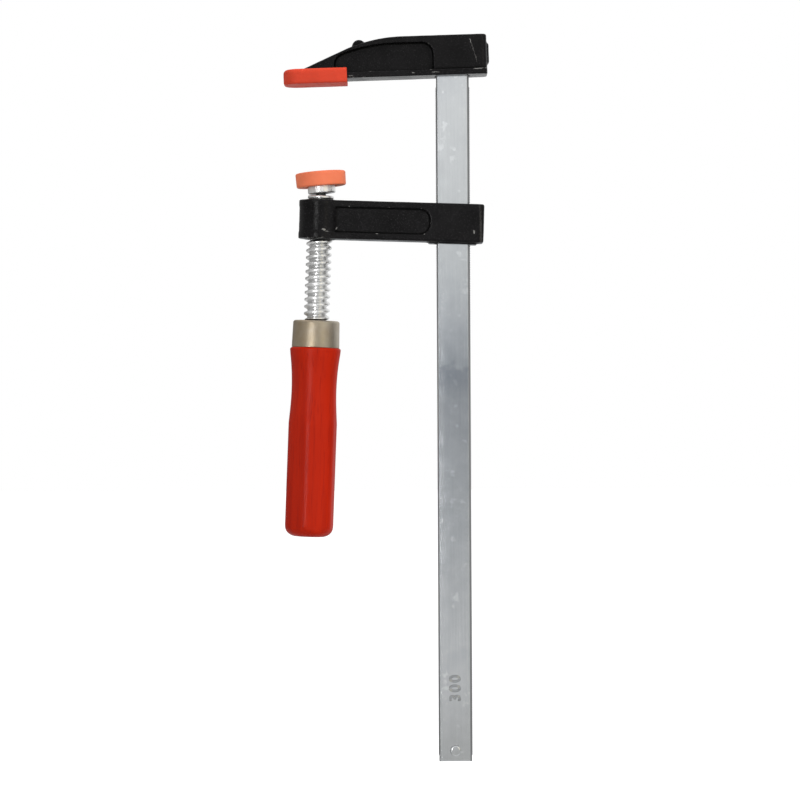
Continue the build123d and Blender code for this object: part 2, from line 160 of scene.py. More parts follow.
class ClampBar(bpy.types.PropertyGroup):
    """Sizes and colours of the toothed bar."""
    width: length("Width", "Bar width over the teeth", bar_width)
    edge: length("Edge rounding", "Rounding of the bar's long edges", 0.5 * MM)
    tooth_pitch: length("Tooth pitch", "Distance between teeth", 1.0 * MM)
    tooth_depth: length("Tooth depth", "Depth of the teeth", 0.3 * MM)
    tooth_margin: length("Plain end", "Bar left plain at each end", 3.0 * MM)
    flare: length("Peened flare", "Spread of the peened upper end", bar_flare)
    stamp: StringProperty(name="Stamp", description="Plain number stamped near the lower end", default="300")
    stamp_height: length("Stamp height", "Type size of the stamped figures", 6.6 * MM)
    stamp_depth: length("Stamp depth", "Depth of the stamped figures", 0.24 * MM)
    stamp_level: length("Stamp level", "Middle of the stamp above the bar's end", 31.3 * MM)
    zinc: colour("Zinc", "Satin zinc plate", (0.66, 0.678, 0.69))
    # The stain colour is also the colour of the painted dark reflection band across the bar.
    stain: colour("Stain", "Darker, bluish patches in the plate", (0.43, 0.46, 0.50))


class ClampCastings(bpy.types.PropertyGroup):
    """Surface of the two painted castings."""
    grain: length("Mesh grain", "Distance between points of the cast surface", 0.34 * MM)
    ripple: length("Ripple", "Height of the cast surface's ripple", 0.09 * MM)
    softening: whole_number("Softening", "Rounds of smoothing on cast edges", 4, least=0)
    paint: colour("Paint", "Satin black paint", (0.0036, 0.0034, 0.0036))
    metal: colour("Bare metal", "Metal where the paint is chipped", (0.42, 0.41, 0.39))


class ClampScrew(bpy.types.PropertyGroup):
    """Sizes and colour of the screw, its washer and the foot's cup."""
    pitch: length("Pitch", "Rise of the thread in one turn", 3.0 * MM)
    crest: length("Crest radius", "Radius over the thread", 5.5 * MM)
    root: length("Root radius", "Radius at the thread's root", 4.05 * MM)
    neck: length("Neck radius", "Radius of the plain neck under the ball", 2.2 * MM)
    ball: length("Ball radius", "Radius of the ball end", 3.4 * MM)
    washer: length("Washer radius", "Radius of the thrust washer", 5.6 * MM)
    cup: length("Cup radius", "Radius of the crimped cup over its corners", 6.0 * MM)
    crimps: whole_number("Crimps", "Facets crimped round the cup", 20, least=3)
    zinc: colour("Bright zinc", "Bright zinc plate", (0.85, 0.853, 0.848))


class ClampPads(bpy.types.PropertyGroup):
    """Size of the swivel pad and colours of the two plastic pads."""
    cap_radius: length("Cap radius", "Largest radius of the swivel pad", 10.8 * MM)
    cap_draft: turn_angle("Cap draft", "Taper of the cap's side", 1.6)
    shoe: colour("Shoe", "Red plastic of the jaw's shoe", (0.66, 0.062, 0.030))
    cap: colour("Cap", "Orange plastic of the swivel pad", (0.88, 0.222, 0.108))


class ClampHandle(bpy.types.PropertyGroup):
    """Sizes and colours of the ferrule and the wooden handle."""
    rim: length("Rim radius", "Radius of the handle's upper rim", 11.0 * MM)
    waist: length("Waist radius", "Least radius of the coved neck", 9.65 * MM)
    waist_drop: length("Waist drop", "Waist's distance below the rim", 17.5 * MM)
    body: length("Body radius", "Radius of the handle's round edges", 10.65 * MM)
    body_drop: length("Body drop", "End of the cove below the rim", 32.5 * MM)
    across_flats: length("Across flats", "Distance between opposite planed flats", 20.2 * MM)
    flats: whole_number("Flats", "Planed flats round the handle", 6, least=3)
    flats_turn: turn_angle("Flats turned", "Angle of the first flat from the right", 51.5)
    end_rounding: length("End rounding", "Rounding of the handle's lower end", 5.0 * MM)
    ferrule_top: length("Ferrule top radius", "Radius of the ferrule's upper end", 9.95 * MM)
    ferrule_foot: length("Ferrule foot radius", "Radius of the ferrule's lower end", 10.25 * MM)
    lacquer: colour("Lacquer", "Red lacquer on the wood", (0.46, 0.0150, 0.0008))
    pores: colour("Pores", "Lacquer over the wood's darker grain", (0.27, 0.0055, 0.0008))
    nickel: colour("Nickel", "Satin nickel of the ferrule", (0.48, 0.438, 0.368))


class ClampStage(bpy.types.PropertyGroup):
    """The photograph's camera and the studio's lights."""
    camera_place: FloatVectorProperty(name="Camera", description="Place of the camera", size=3, subtype="XYZ",
                                      default=(0.0340, -1.3, -0.1356))
    camera_roll: turn_angle("Roll", "Turn of the camera about its view", -0.29)
    lens: plain_number("Lens", "Focal length in millimetres", 136.0)
    ambient: plain_number("Ambient", "Strength of the even light", 0.72)
    key_power: plain_number("Key light", "Power of the right front light", 14.5)
    fill_power: plain_number("Fill light", "Power of the left front light", 1.6)
    top_power: plain_number("Top light", "Power of the light overhead", 7.0)


# Node helpers

class Field:
    """What a node gives out. Arithmetic on it adds Math nodes to the same tree."""

    def __init__(self, socket):
        self.socket = socket
        self.tree = socket.id_data

    def __add__(self, other):
        return figure("ADD", self, other)

    def __sub__(self, other):
        return figure("SUBTRACT", self, other)

    def __mul__(self, other):
        return figure("MULTIPLY", self, other)

    def __truediv__(self, other):
        return figure("DIVIDE", self, other)

    def __lt__(self, other):
        return figure("LESS_THAN", self, other)

    def __gt__(self, other):
        return figure("GREATER_THAN", self, other)

    def __abs__(self):
        return figure("ABSOLUTE", self)


def plug(node, key, value):
    """Feeds one input of a node with a field or a plain value."""
    socket = node.inputs[key]
    if isinstance(value, Field):
        value.tree.links.new(value.socket, socket)
    else:
        socket.default_value = value


def add_node(tree, kind, feeds=None, **options):
    """Adds a node, sets its options and feeds its inputs."""
    node = tree.nodes.new(kind)
    for option, value in options.items():
        setattr(node, option, value)
    for key, value in (feeds or {}).items():
        plug(node, key, value)
    return node


def field(tree, kind, feeds=None, output=0, **options):
    """One output of a new node."""
    return Field(add_node(tree, kind, feeds, **options).outputs[output])


def tree_of(values):
    """The tree of the first field among some values."""
    return next(value.tree for value in values if isinstance(value, Field))


def figure(operation, *values):
    """The result of one Math node."""
    return field(tree_of(values), "ShaderNodeMath", dict(enumerate(values)), operation=operation)


def vector(operation, *values, **feeds):
    """The result of one Vector Math node."""
    feeds.update(enumerate(values))
    output = "Value" if operation in ("LENGTH", "DOT_PRODUCT") else "Vector"
    return field(tree_of(values), "ShaderNodeVectorMath", feeds, output, operation=operation)


def parts_of(place):
    """The X, Y and Z of a place."""
    outputs = add_node(place.tree, "ShaderNodeSeparateXYZ", {0: place}).outputs
    return [Field(output) for output in outputs]


def point(x=0.0, y=0.0, z=0.0):
    """A place from its X, Y and Z."""
    return field(tree_of((x, y, z)), "ShaderNodeCombineXYZ", {0: x, 1: y, 2: z})


def ramp(value, low, high, interpolation="SMOOTHSTEP"):
    """A value carried from low to high onto 0 to 1."""
    feeds = {"Value": value, "From Min": low, "From Max": high}
    return field(value.tree, "ShaderNodeMapRange", feeds, interpolation_type=interpolation)


def title(name):
    """The label of the socket that a plain name stands for."""
    return name.replace("_", " ").title().replace("Ior", "IOR")


plain_sockets = {float: "NodeSocketFloat", int: "NodeSocketInt", str: "NodeSocketString"}


def new_group(name, kind, result_kind, inputs):
    """An empty node group, the fields it is given and the socket of its result.

    Each input is named with its default value, or else with the kind of its socket.
    """
    tree = bpy.data.node_groups.new(name, kind)
    for label, default in inputs.items():
        plain = type(default) in plain_sockets
        socket_kind = plain_sockets[type(default)] if plain else default.__name__
        socket = tree.interface.new_socket(title(label), in_out="INPUT", socket_type=socket_kind)
        if plain:
            socket.default_value = default
    result_label = result_kind.__name__.removeprefix("NodeSocket")
    tree.interface.new_socket(result_label, in_out="OUTPUT", socket_type=result_kind.__name__)
    start = tree.nodes.new("NodeGroupInput")
    end = tree.nodes.new("NodeGroupOutput")
    given = {label: Field(start.outputs[title(label)]) for label in inputs}
    return tree, SimpleNamespace(**given), end.inputs[0]


# Geometry trees

def geometry_tree(name, **sizes):
    """A geometry tree that takes and gives a geometry, with named sizes and the material it ends in."""
    inputs = {"geometry": NodeSocketGeometry, **sizes, "material": NodeSocketMaterial}
    tree, given, result = new_group(name, "GeometryNodeTree", NodeSocketGeometry, inputs)
    tree.is_modifier = True
    return tree, given, result


def end_tree(given, result, geometry):
    """Closes a geometry tree with Realize Instances and Set Material, and gives the tree."""
    tree = geometry.tree
    realized = field(tree, "GeometryNodeRealizeInstances", {"Geometry": geometry})
    finished = field(tree, "GeometryNodeSetMaterial", {"Geometry": realized, "Material": given.material})
    tree.links.new(finished.socket, result)
    return tree


def joined(*geometries):
    """Geometries in one, in this order."""
    node = add_node(tree_of(geometries), "GeometryNodeJoinGeometry")
    for geometry in geometries:
        plug(node, 0, geometry)
    return Field(node.outputs[0])


def polar_fields(tree):
    """Angle about Z, distance from it and level of each point."""
    x, y, level = parts_of(field(tree, "GeometryNodeInputPosition"))
    return figure("ARCTAN2", y, x), figure("SQRT", x * x + y * y), level


def at_radius(geometry, angle, radius, level):
    """Moves each point to a new distance from the Z axis."""
    place = point(radius * figure("COSINE", angle), radius * figure("SINE", angle), level)
    return field(geometry.tree, "GeometryNodeSetPosition", {"Geometry": geometry, "Position": place})


def thread_tree():
    """Raises a right-handed rolled thread on a turned core."""
    tree, given, result = geometry_tree(
        "Rolled Thread", pitch=0.003, depth=0.0014, low=-0.04, high=0.008, crest_share=0.12, root_share=0.4,
    )
    angle, radius, level = polar_fields(tree)
    from_crest = figure("PINGPONG", level / given.pitch - angle / (2 * pi), 0.5)
    rise = ramp(from_crest, given.root_share, given.crest_share, "LINEAR")
    fade = given.pitch * 0.4
    starts = ramp(level, given.low, given.low + fade)
    ends = ramp(level, given.high, given.high - fade)
    raised = rise * (starts * ends) * given.depth + radius
    return end_tree(given, result, at_radius(given.geometry, angle, raised, level))


def flats_tree():
    """Planes flats round a turned piece below a level, with softened edges between them."""
    tree, given, result = geometry_tree(
        "Planed Flats", flats=6, apothem=0.0101, turn=0.0, below=0.0, softness=0.0003,
    )
    angle, radius, level = polar_fields(tree)
    half = figure("DIVIDE", pi, given.flats)
    swing = figure("WRAP", angle - given.turn, half, half * -1.0)
    flat = given.apothem / figure("COSINE", swing)
    planed = figure("SMOOTH_MIN", radius, flat, given.softness)
    kept = radius + (level < given.below) * (planed - radius)
    return end_tree(given, result, at_radius(given.geometry, angle, kept, level))


def toothed_bar_tree():
    """A flat bar with rounded edges, a row of teeth on each narrow side, a stamp and a peened upper end."""
    tree, given, result = geometry_tree(
        "Toothed Bar", width=0.0141, thickness=0.0055, length=0.31, edge=0.0003, pitch=0.001, depth=0.0003,
        margin=0.003, toothed_length=0.28, flare=0.0006, slope=0.0, stamp="", stamp_height=0.005,
        stamp_depth=0.0003, stamp_level=0.03,
    )
    core_width = given.depth * -2.0 + given.width
    outline = field(tree, "GeometryNodeCurvePrimitiveQuadrilateral",
                    {"Width": core_width, "Height": given.thickness})
    rounded = field(tree, "GeometryNodeFilletCurve",
                    {"Curve": outline, "Radius": given.edge, "Count": 4}, mode="POLY")
    section = field(tree, "GeometryNodeFillCurve", {"Curve": rounded}, mode="NGONS")
    upward = {"Offset": (0.0, 0.0, 1.0), "Individual": False}
    shank = add_node(tree, "GeometryNodeExtrudeMesh",
                     {"Mesh": section, "Offset Scale": given.length - given.flare, **upward})
    head = add_node(tree, "GeometryNodeExtrudeMesh", {
        "Mesh": Field(shank.outputs["Mesh"]), "Selection": Field(shank.outputs["Top"]),
        "Offset Scale": given.flare, **upward,
    })
    x, _, _ = parts_of(field(tree, "GeometryNodeInputPosition"))
    spread = given.flare / (core_width * 0.5)
    peened = field(tree, "GeometryNodeSetPosition", {
        "Geometry": Field(head.outputs["Mesh"]), "Selection": Field(head.outputs["Top"]),
        "Offset": point(x * spread, z=x * given.slope),
    })
    under_side = field(tree, "GeometryNodeFlipFaces", {"Mesh": section})
    body = field(tree, "GeometryNodeMergeByDistance",
                 {"Geometry": joined(peened, under_side), "Distance": same_place})
    figures = field(tree, "GeometryNodeStringToCurves",
                    {"String": given.stamp, "Size": given.stamp_height, "Character Spacing": 1.25},
                    align_x="CENTER", align_y="MIDDLE")
    outlines = field(tree, "GeometryNodeRealizeInstances", {"Geometry": figures})
    groove = field(tree, "GeometryNodeCurvePrimitiveCircle", {"Resolution": 8, "Radius": given.stamp_depth})
    punch = field(tree, "GeometryNodeCurveToMesh",
                  {"Curve": outlines, "Profile Curve": groove, "Fill Caps": True})
    set_punch = field(tree, "GeometryNodeTransform", {
        "Geometry": punch, "Translation": point(y=given.thickness * -0.5, z=given.stamp_level),
        "Rotation": (radians(90), radians(-90), 0.0),
    })
    stamped = field(tree, "GeometryNodeMeshBoolean",
                    {"Mesh 1": body, "Mesh 2": set_punch, "Self Intersection": True},
                    operation="DIFFERENCE", solver="EXACT")
    side = sqrt(0.5)
    block = field(tree, "GeometryNodeMeshCube", {"Size": (side, 1.0, side)})
    diamond = field(tree, "GeometryNodeTransform", {"Geometry": block, "Rotation": (0.0, radians(45), 0.0)})
    tooth_size = point(given.depth * 2.0, given.edge * -2.0 + given.thickness, given.pitch)
    tooth = field(tree, "GeometryNodeTransform", {"Geometry": diamond, "Scale": tooth_size})
    count = figure("FLOOR", given.toothed_length / given.pitch)
    step = point(z=given.pitch)
    rows = []
    for share in (0.5, -0.5):
        first = point(core_width * share, z=given.margin)
        places = field(tree, "GeometryNodeMeshLine",
                       {"Count": count, "Start Location": first, "Offset": step})
        rows.append(field(tree, "GeometryNodeInstanceOnPoints", {"Points": places, "Instance": tooth}))
    return end_tree(given, result, joined(stamped, *rows))


# Mesh helpers

def new_piece(name, mesh):
    """A mesh as an object of the scene, at the origin."""
    piece = bpy.data.objects.new(name, mesh)
    bpy.context.scene.collection.objects.link(piece)
    return piece


def arc(centre, start, end, steps):
    """Points of an arc from one arm of its centre to another."""
    sweep = -start.angle_signed(end)
    points = []
    for step in range(steps + 1):
        angle = sweep * step / steps
        points.append(centre + Vector((
            start.x * cos(angle) - start.y * sin(angle),
            start.x * sin(angle) + start.y * cos(angle),
        )))
    return points


def rounded_outline(corners, steps=6):
    """Points of an open outline from corners (radius, level, rounding), with each rounding as an arc."""
    points = []
    last = len(corners) - 1
    for index, (radius, level, rounding) in enumerate(corners):
        here = Vector((radius, level))
        if rounding == 0 or index in (0, last):
            points.append(here)
            continue
        before = (Vector(corners[index - 1][:2]) - here).normalized()
        after = (Vector(corners[index + 1][:2]) - here).normalized()
        half = before.angle(after) / 2
        middle = (before + after).normalized()
        centre = here + middle * (rounding / sin(half))
        start = here + before * (rounding / tan(half)) - centre
        end = here + after * (rounding / tan(half)) - centre
        points += arc(centre, start, end, steps)
    return points


def arc_through(first, middle, last, steps):
    """Points of the arc through three places of an outline, without its first one."""
    rows = Matrix(((middle.x - first.x, middle.y - first.y), (last.x - first.x, last.y - first.y)))
    right = Vector(((middle.length_squared - first.length_squared) / 2,
                    (last.length_squared - first.length_squared) / 2))
    centre = rows.inverted() @ right
    return arc(centre, first - centre, last - centre, steps)[1:]


def spaced(points, gap):
    """The same outline with no two points further apart than about a gap."""
    dense = [points[0]]
    for before, after in zip(points, points[1:]):
        pieces = max(1, round((after - before).length / gap))
        for step in range(1, pieces + 1):
            dense.append(before.lerp(after, step / pieces))
    return dense


def piece_from(name, work):
    """A bmesh as a new piece."""
    mesh = bpy.data.meshes.new(name)
    work.to_mesh(mesh)
    work.free()
    return new_piece(name, mesh)


def turned_piece(name, outline, segments):
    """A closed mesh turned about Z from an outline of (radius, level) points."""
    work = bmesh.new()
    rings = []
    for radius, level in outline:
        ring = []
        for step in range(segments):
            angle = 2 * pi * step / segments
            ring.append(work.verts.new((radius * cos(angle), radius * sin(angle), level)))
        rings.append(ring)
    for lower, upper in zip(rings, rings[1:]):
        for step in range(segments):
            after = (step + 1) % segments
            work.faces.new((lower[step], lower[after], upper[after], upper[step]))
    bmesh.ops.remove_doubles(work, verts=work.verts, dist=same_place)
    bmesh.ops.recalc_face_normals(work, faces=work.faces)
    return piece_from(name, work)


def solid_copy(name, node):
    """A merged copy of a solid's mesh, as a new piece."""
    work = bmesh.new()
    work.from_mesh(frame["nodes"][node].data)
    bmesh.ops.remove_doubles(work, verts=work.verts, dist=same_place)
    return piece_from(name, work)


def keep_result(piece):
    """Turns a piece's modifiers into its plain mesh."""
    depsgraph = bpy.context.evaluated_depsgraph_get()
    made = bpy.data.meshes.new_from_object(piece.evaluated_get(depsgraph))
    made.name = piece.name
    old = piece.data
    piece.modifiers.clear()
    piece.data = made
    bpy.data.meshes.remove(old)


def run_tree(piece, tree, material, **sizes):
    """Runs a geometry tree on a piece with its named sizes, and keeps the result."""
    modifier = piece.modifiers.new(tree.name, "NODES")
    modifier.node_group = tree
    values = {title(name): value for name, value in sizes.items()}
    values["Material"] = material
    for item in tree.interface.items_tree:
        if item.in_out == "INPUT" and item.name in values:
            modifier[item.identifier] = values[item.name]
    keep_result(piece)


def finish_piece(piece, material, body, nodes, sharp=40.0, place=None):
    """Sets a piece in place and shades it up to an angle, then gives it its material and its body."""
    mesh = piece.data
    if place is not None:
        mesh.transform(place)
    mesh.shade_smooth()
    mesh.set_sharp_from_angle(angle=radians(sharp))
    mesh.materials.clear()
    mesh.materials.append(material)
    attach(piece, body)
    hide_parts(*nodes)


def soften(piece, grain, rounds, ripple, ripple_size):
    """Remeshes a piece evenly, softens its edges and gives it the ripple of a cast or moulded face."""
    remesh = piece.modifiers.new("even", "REMESH")
    remesh.mode = "VOXEL"
    remesh.voxel_size = grain
    smooth = piece.modifiers.new("soft", "SMOOTH")
    smooth.factor = 0.5
    smooth.iterations = rounds
    clouds = bpy.data.textures.new(piece.name + "_ripple", "CLOUDS")
    clouds.noise_scale = ripple_size
    clouds.noise_depth = 2
    wave = piece.modifiers.new("ripple", "DISPLACE")
    wave.texture = clouds
    wave.strength = ripple
    wave.mid_level = 0.5
    keep_result(piece)


def mesh_rows(items, label, width, kind=float):
    """One value of every item of a mesh, a row for each."""
    values = np.empty(len(items) * width, dtype=kind)
    items.foreach_get(label, values)
    return values.reshape(-1, width)


def mark_edges(mesh, spread=3):
    """Stores how far each point stands out from its neighbours, which is high on outside edges."""
    count = len(mesh.vertices)
    places = mesh_rows(mesh.vertices, "co", 3)
    facing = mesh_rows(mesh.vertex_normals, "vector", 3)
    first, second = mesh_rows(mesh.edges, "vertices", 2, np.int64).T
    away = places[second] - places[first]
    least_length = 1e-12
    away /= np.linalg.norm(away, axis=1, keepdims=True) + least_length
    links = np.maximum(np.bincount(first, minlength=count) + np.bincount(second, minlength=count), 1)
    stand = -np.bincount(first, (facing[first] * away).sum(1), count)
    stand += np.bincount(second, (facing[second] * away).sum(1), count)
    stand /= links
    for _ in range(spread):
        total = np.bincount(first, stand[second], count) + np.bincount(second, stand[first], count)
        stand = 0.5 * stand + 0.5 * total / links
    mark = mesh.attributes.new("edge", "FLOAT", "POINT")
    mark.data.foreach_set("value", stand.astype(np.float32))


# Shader groups

def shader_group(**inputs):
    """Makes a function of fields into a shader group, which is built once and shared."""
    def wrap(build):
        name = build.__name__.title()

        def place_group(*values, **named):
            group = bpy.data.node_groups.get(name)
            if not group:
                group, given, result = new_group(name, "ShaderNodeTree", NodeSocketFloat, inputs)
                group.links.new(build(**vars(given)).socket, result)
            named.update(zip(inputs, values))
            feeds = {title(label): value for label, value in named.items()}
            return field(tree_of(values), "ShaderNodeGroup", feeds, node_tree=group)

        return place_group

    return wrap


def soft_noise(place, scale, detail, output=0, **more):
    """A noise between 0 and 1, or another output of it."""
    feeds = {"Vector": place, "Scale": scale, "Detail": detail, **more}
    return field(place.tree, "ShaderNodeTexNoise", feeds, output)


@shader_group(place=NodeSocketVector, scale=100.0, detail=3.0, low=0.0, high=1.0)
def mottle(place, scale, detail, low, high):
    """Soft cloudy variation between two values."""
    share = ramp(soft_noise(place, scale, detail), 0.3, 0.7, "LINEAR")
    return share * (high - low) + low


@shader_group(place=NodeSocketVector, across=1000.0, along=20.0, detail=4.0)
def streaks(place, across, along, detail):
    """Fine streaks drawn out along Z, as on rolled bar and planed wood."""
    drawn = vector("MULTIPLY", place, point(across, across, along))
    return ramp(soft_noise(drawn, 1.0, detail), 0.28, 0.72, "LINEAR")


@shader_group(place=NodeSocketVector, scale=60.0, width=0.006, cover=0.62)
def scuffs(place, scale, width, cover):
    """Sparse thin scratches."""
    off_centre = abs(soft_noise(place, scale, detail=1.0, Distortion=0.6) - 0.5)
    patches = soft_noise(place, scale * 2.6, detail=2.0)
    return ramp(off_centre, width, 0.0, "LINEAR") * ramp(patches, cover, cover + 0.06)


@shader_group(edge=0.0, place=NodeSocketVector, scale=500.0, need=0.2)
def chips(edge, place, scale, need):
    """Paint chipped off along outside edges, from the stored edge value."""
    flakes = ramp(soft_noise(place, scale, detail=4.0, Roughness=0.65), 0.5, 0.72, "LINEAR")
    patches = ramp(soft_noise(place, scale * 0.22, detail=1.0), 0.42, 0.62, "LINEAR")
    worn = flakes * patches * figure("MAXIMUM", edge, 0.0)
    return ramp(worn, need, need * 1.5)


@shader_group(place=NodeSocketVector, start=NodeSocketVector, end=NodeSocketVector, width=0.0003)
def scratch(place, start, end, width):
    """One scratch, thin at its ends, between two places."""
    run = vector("SUBTRACT", end, start)
    from_start = vector("SUBTRACT", place, start)
    along = vector("DOT_PRODUCT", from_start, run) / vector("DOT_PRODUCT", run, run)
    on_run = vector("SCALE", run, Scale=along)
    off_line = vector("LENGTH", vector("SUBTRACT", from_start, on_run))
    from_middle = abs(along * 2.0 - 1.0)
    half_width = width * ramp(from_middle, 1.0, 0.55, "LINEAR")
    return ramp(off_line, half_width, half_width * 0.4) * (from_middle < 1.0)


# Materials

def dress(shader, **inputs):
    """Feeds the inputs of a shader by their plain names."""
    for label, value in inputs.items():
        plug(shader, title(label), value)


def principled(name, **constants):
    """A material with one Principled BSDF, its plain values set on the shader's own sockets."""
    material = bpy.data.materials.new(name)
    material.use_nodes = True
    shader = material.node_tree.nodes["Principled BSDF"]
    dress(shader, **constants)
    return material, shader


def placed_material(name, **constants):
    """A material with its shader and the object's own coordinates."""
    material, shader = principled(name, **constants)
    return material, shader, field(material.node_tree, "ShaderNodeTexCoord", output="Object")


def mixed(share, first, second):
    """A colour between two."""
    values = (share, first, second)
    node = add_node(tree_of(values), "ShaderNodeMix", data_type="RGBA")
    for key, value in zip((0, 6, 7), values):
        plug(node, key, value if isinstance(value, Field) else (*value, 1.0))
    return Field(node.outputs[2])


def shade_of(base, factor):
    """A colour made lighter or darker by a factor."""
    return tuple(min(1.0, part * factor) for part in base)


def bumped(shader, height, strength, distance):
    """Gives a shader a fine relief."""
    feeds = {"Height": height, "Strength": strength, "Distance": distance}
    dress(shader, normal=field(height.tree, "ShaderNodeBump", feeds))


def black_paint(castings):
    """Satin black paint on cast metal: chips on outside edges, a few scratches, a faint painted highlight band
    along the arm's heel and painted shade in inside corners.
    """
    material, shader, place = placed_material("black_paint_finish", specular_ior_level=0.1)
    edge = field(place.tree, "ShaderNodeAttribute", output="Fac", attribute_name="edge")
    chipped = chips(edge, place, scale=620.0, need=0.036)
    noise = soft_noise(place, scale=1500.0, detail=2.0, output="Color")
    stray = vector("SUBTRACT", noise, (0.5, 0.5, 0.5))
    ragged = vector("ADD", place, vector("SCALE", stray, Scale=0.9 * MM))
    bare_metal_and_painted_highlight = chipped * 0.5
    # Start and end on the front faces and width, in millimetres, then strength
    for start, end, width, strength in (
        ((64.7, -6.5, 19.0), (68.2, -6.5, 7.5), 0.12, 0.35),
        ((64.5, -6.5, 19.2), (65.3, -6.5, 16.8), 0.24, 0.6),
        ((66.0, -8.0, 5.95), (71.0, -8.0, 6.2), 0.34, 0.45),
        ((47.7, -8.0, 4.55), (51.8, -8.0, 4.65), 0.22, 0.35),
        ((12.2, -8.0, 3.1), (15.4, -8.0, 3.2), 0.22, 0.35),
        ((39.8, -8.0, 4.3), (40.8, -8.0, 4.35), 0.3, 0.5),
        ((0.8, -9.0, -62.3), (2.9, -8.6, -62.7), 0.5, 0.5),
        ((2.2, -8.8, -63.2), (5.2, -8.0, -63.4), 0.3, 0.4),
        ((6.6, -5.5, -62.9), (7.6, -5.5, -61.2), 0.36, 0.4),
        ((65.9, -7.0, -62.9), (66.2, -7.0, -64.8), 0.4, 0.5),
        # This wide, faint row is a painted highlight along the arm's heel, where its rounded end catches light
        # from the right.
        ((68.5, -6.5, -46.5), (69.2, -6.5, -77.5), 0.75, 0.07),
    ):
        mark = scratch(ragged, Vector(start) * MM, Vector(end) * MM, width * MM)
        bare_metal_and_painted_highlight = figure("MAXIMUM", bare_metal_and_painted_highlight, mark * strength)
    dust = mottle(place, scale=2600.0, detail=2.0, low=-4.2, high=1.15)
    grain = mottle(place, scale=950.0, detail=4.0)
    tone = mottle(place, scale=90.0, detail=4.0)
    # Painted shade: the paint is darkened almost to black and made rougher in inside corners, where shade falls.
    inside = ramp(edge, -0.01, -0.09)
    painted = mixed(tone, castings.paint, shade_of(castings.paint, 2.1))
    dusty = mixed(dust, painted, shade_of(castings.paint, 9.0))
    shaded = mixed(inside, dusty, shade_of(castings.paint, 0.1))
    dress(
        shader, base_color=mixed(bare_metal_and_painted_highlight, shaded, castings.metal), metallic=bare_metal_and_painted_highlight * 0.8,
        roughness=inside * 0.5 + (tone * 0.12 + 0.21),
    )
    bumped(shader, grain - chipped * 1.5, strength=0.3, distance=0.12 * MM)
    return material


def zinc_plate(bar):
    """Satin zinc plate on rolled bar: streaks, soft clouds, pale smudges, a painted dark reflection band, and
    painted shade along the edges, round the stop pin and in the stamp.
    """
    material, shader, place = placed_material("zinc_plate_finish", specular_ior_level=0.2)
    fine = streaks(place, across=1700.0, along=30.0)
    broad = streaks(place, across=330.0, along=9.0, detail=2.0)
    cloud = mottle(place, scale=230.0, detail=6.0)
    stain = mottle(place, scale=30.0, detail=4.0, low=-0.45, high=0.3)
    smudge = mottle(place, scale=210.0, detail=3.0, low=-4.6, high=0.9)
    x, y, z = parts_of(place)
    half = bar_width / 2
    # Painted shade along the bar's long toothed edges, set a little off centre so that the right band is broader:
    # darker, rougher and less metallic there.
    from_middle = abs(x - (bar_middle - 0.15 * MM))
    edge = ramp(from_middle, half - 1.1 * MM, half - 0.8 * MM)
    # Painted shade in the stamped figures' grooves, found by their depth below the front face.
    depth = ramp(y, bar_low.y + 0.05 * MM, bar_low.y + 0.22 * MM)
    stamp_painted_shade = depth * ((y < 0.0) * (from_middle < half - 1.5 * MM)) * 0.45
    # Painted shade round the stop pin's rim, heavier on its upper left side.
    pin_x, _, pin_z = parts_of(vector("SUBTRACT", place, pin_middle))
    off_rim = abs(figure("SQRT", pin_x * pin_x + pin_z * pin_z) - pin_radius)
    pin_painted_shade = ramp(off_rim, 0.35 * MM, 0.05 * MM) * ramp(pin_z - pin_x, -1.2 * MM, 1.2 * MM)
    # Painted reflection: a dark band across the bar, with a ragged edge from the clouds, stands in for a dark
    # reflection of the camera side.
    level = cloud * (4.0 * MM) + z
    painted_reflection_top = bar_low.z + 173.0 * MM
    painted_reflection_band = ramp(level, painted_reflection_top, painted_reflection_top - 3.0 * MM)
    painted_reflection_band *= ramp(level, painted_reflection_top - 16.0 * MM, painted_reflection_top - 6.0 * MM)
    light = shade_of(bar.zinc, 1.16)
    plain = mixed(cloud * 0.35, bar.zinc, light)
    stained = mixed(figure("MAXIMUM", stain, 0.0), plain, bar.stain)
    drawn = mixed(fine * 0.16, stained, bar.stain)
    marked = mixed(figure("MAXIMUM", smudge, 0.0), drawn, light)
    # Mixes in the painted dark reflection band.
    with_painted_reflection = mixed(painted_reflection_band * 0.5, marked, bar.stain)
    # Painted shade from the edges, the pin's rim and the stamp, which darkens the plate and dulls it.
    edge_and_pin_painted_shade = figure("MAXIMUM", edge, pin_painted_shade * 0.8)
    painted_shade_mask = figure("MAXIMUM", edge_and_pin_painted_shade, stamp_painted_shade)
    dress(
        shader, base_color=mixed(painted_shade_mask, with_painted_reflection, shade_of(bar.zinc, 0.25)), metallic=edge_and_pin_painted_shade * -0.85 + 1.0,
        roughness=edge_and_pin_painted_shade * 0.4 + (cloud * 0.05 + (broad * 0.05 + 0.115)),
    )
    bumped(shader, fine + cloud * 0.5, strength=0.08, distance=0.04 * MM)
    return material


